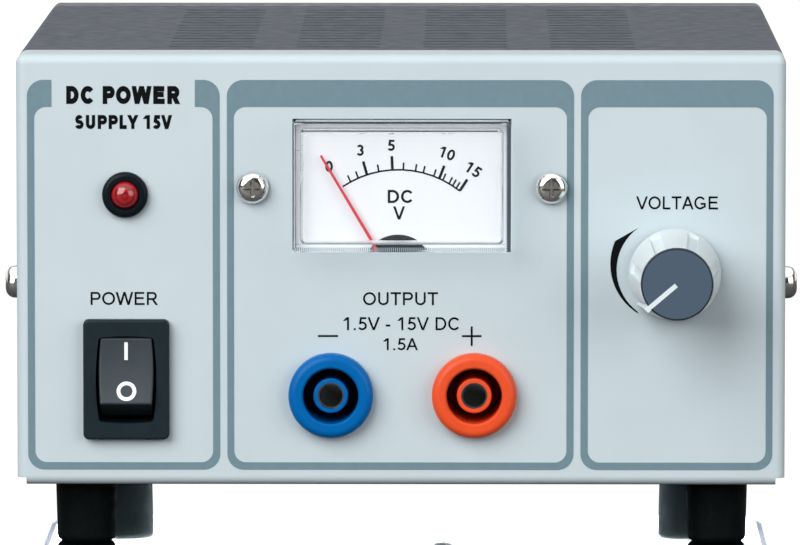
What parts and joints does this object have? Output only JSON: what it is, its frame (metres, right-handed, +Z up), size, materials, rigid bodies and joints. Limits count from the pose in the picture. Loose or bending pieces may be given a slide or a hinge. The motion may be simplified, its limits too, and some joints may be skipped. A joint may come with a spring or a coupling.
{
  "type": "bench power supply",
  "caption": "Compact bench power supply with a folded steel case, analogue panel meter, rocker switch, lamp, safety sockets and a voltage knob.",
  "frame": {"origin": "bottom centre of the whole object, level with the undersides of the feet", "axes": "+X right seen from the front, +Y from the front panel to the rear panel, +Z up"},
  "size_m": [0.1384, 0.166, 0.0865],
  "materials": {
    "case_paint": "semi-gloss powder coat",
    "cover_paint": "satin dark grey paint",
    "zinc_steel": "bright zinc plate",
    "plated_screw": "bright plate",
    "foot_rubber": "matt",
    "switch_plastic": "fine satin",
    "rocker_plastic": "fine satin",
    "tin_plate": "tinned",
    "black_plastic": "moulded",
    "red_lens": "tinted clear",
    "clear_plastic": "clear moulded",
    "dial_white": "printed white",
    "needle_red": "red lacquer",
    "copper": "enamelled copper",
    "magnet_iron": "plain",
    "blue_plastic": "moulded",
    "red_plastic": "moulded",
    "nickel_brass": "nickel plated",
    "knob_grey": "satin",
    "cap_grey": "satin",
    "black_moulding": "moulded",
    "glass_tube": "clear",
    "core_iron": "varnished laminations",
    "bobbin_plastic": "nylon",
    "winding_tape": "yellow tape",
    "board_laminate": "solder mask",
    "capacitor_sleeve": "shrink sleeve",
    "sink_aluminium": "extruded",
    "lead_insulation": "PVC"
  },
  "bodies": {
    "case": {"chassis": "case_paint", "cover": "cover_paint", "cover_tabs": "zinc_steel", "cover_screws": "plated_screw", "front_feet": "foot_rubber", "rear_feet": "foot_rubber", "foot_screws": "zinc_steel", "nuts": "zinc_steel", "switch_housing": "switch_plastic", "switch_terminals": "tin_plate", "lamp_clip": "black_plastic", "lamp_lens": "red_lens", "lamp_leads": "lead_insulation", "meter_cover": "clear_plastic", "meter_dial": "dial_white", "meter_hub_shield": "black_moulding", "meter_case": "black_moulding", "meter_magnet": "magnet_iron", "meter_core": "magnet_iron", "meter_bridge": "nickel_brass", "meter_bracket": "zinc_steel", "meter_screws": "plated_screw", "meter_terminals": "nickel_brass", "negative_socket": "blue_plastic", "positive_socket": "red_plastic", "negative_contact": "nickel_brass", "positive_contact": "nickel_brass", "socket_nuts": "black_moulding", "socket_lugs": "tin_plate", "pot_body": "zinc_steel", "pot_nut": "nickel_brass", "pot_washer": "zinc_steel", "pot_tags": "tin_plate", "mains_inlet": "black_moulding", "inlet_pins": "nickel_brass", "inlet_screws": "plated_screw", "fuse_holder": "black_moulding", "fuse_cap": "black_moulding", "fuse_link": "glass_tube", "transformer_core": "core_iron", "transformer_bobbin": "bobbin_plastic", "transformer_windings": "winding_tape", "transformer_bracket": "zinc_steel", "transformer_screws": "zinc_steel", "circuit_board": "board_laminate", "board_standoffs": "nickel_brass", "board_screws": "zinc_steel", "main_capacitor": "capacitor_sleeve", "bridge_rectifier": "black_moulding", "regulator": "black_moulding", "heat_sink": "sink_aluminium", "output_leads": "lead_insulation", "mains_leads": "lead_insulation"},
    "knob": {"knob_body": "knob_grey", "knob_cap": "cap_grey", "pot_shaft": "nickel_brass"},
    "rocker": {"switch_rocker": "rocker_plastic"},
    "needle": {"meter_needle": "needle_red", "meter_coil": "copper"}
  },
  "joints": [
    {"name": "knob_turn", "type": "hinge", "parent": "case", "child": "knob", "pos_m": [0.0477, -0.064, 0.0482], "axis": [0, 1, 0], "range_deg": [0, 270]},
    {"name": "switch_rock", "type": "hinge", "parent": "case", "child": "rocker", "pos_m": [-0.04785, -0.0584, 0.0298], "axis": [1, 0, 0], "range_deg": [0, 22]},
    {"name": "needle_swing", "type": "hinge", "parent": "case", "child": "needle", "pos_m": [-0.0005, -0.062, 0.0462], "axis": [0, 1, 0], "range_deg": [0, 64.1], "stiffness_Nm_per_rad": 0.00005}
  ]
}
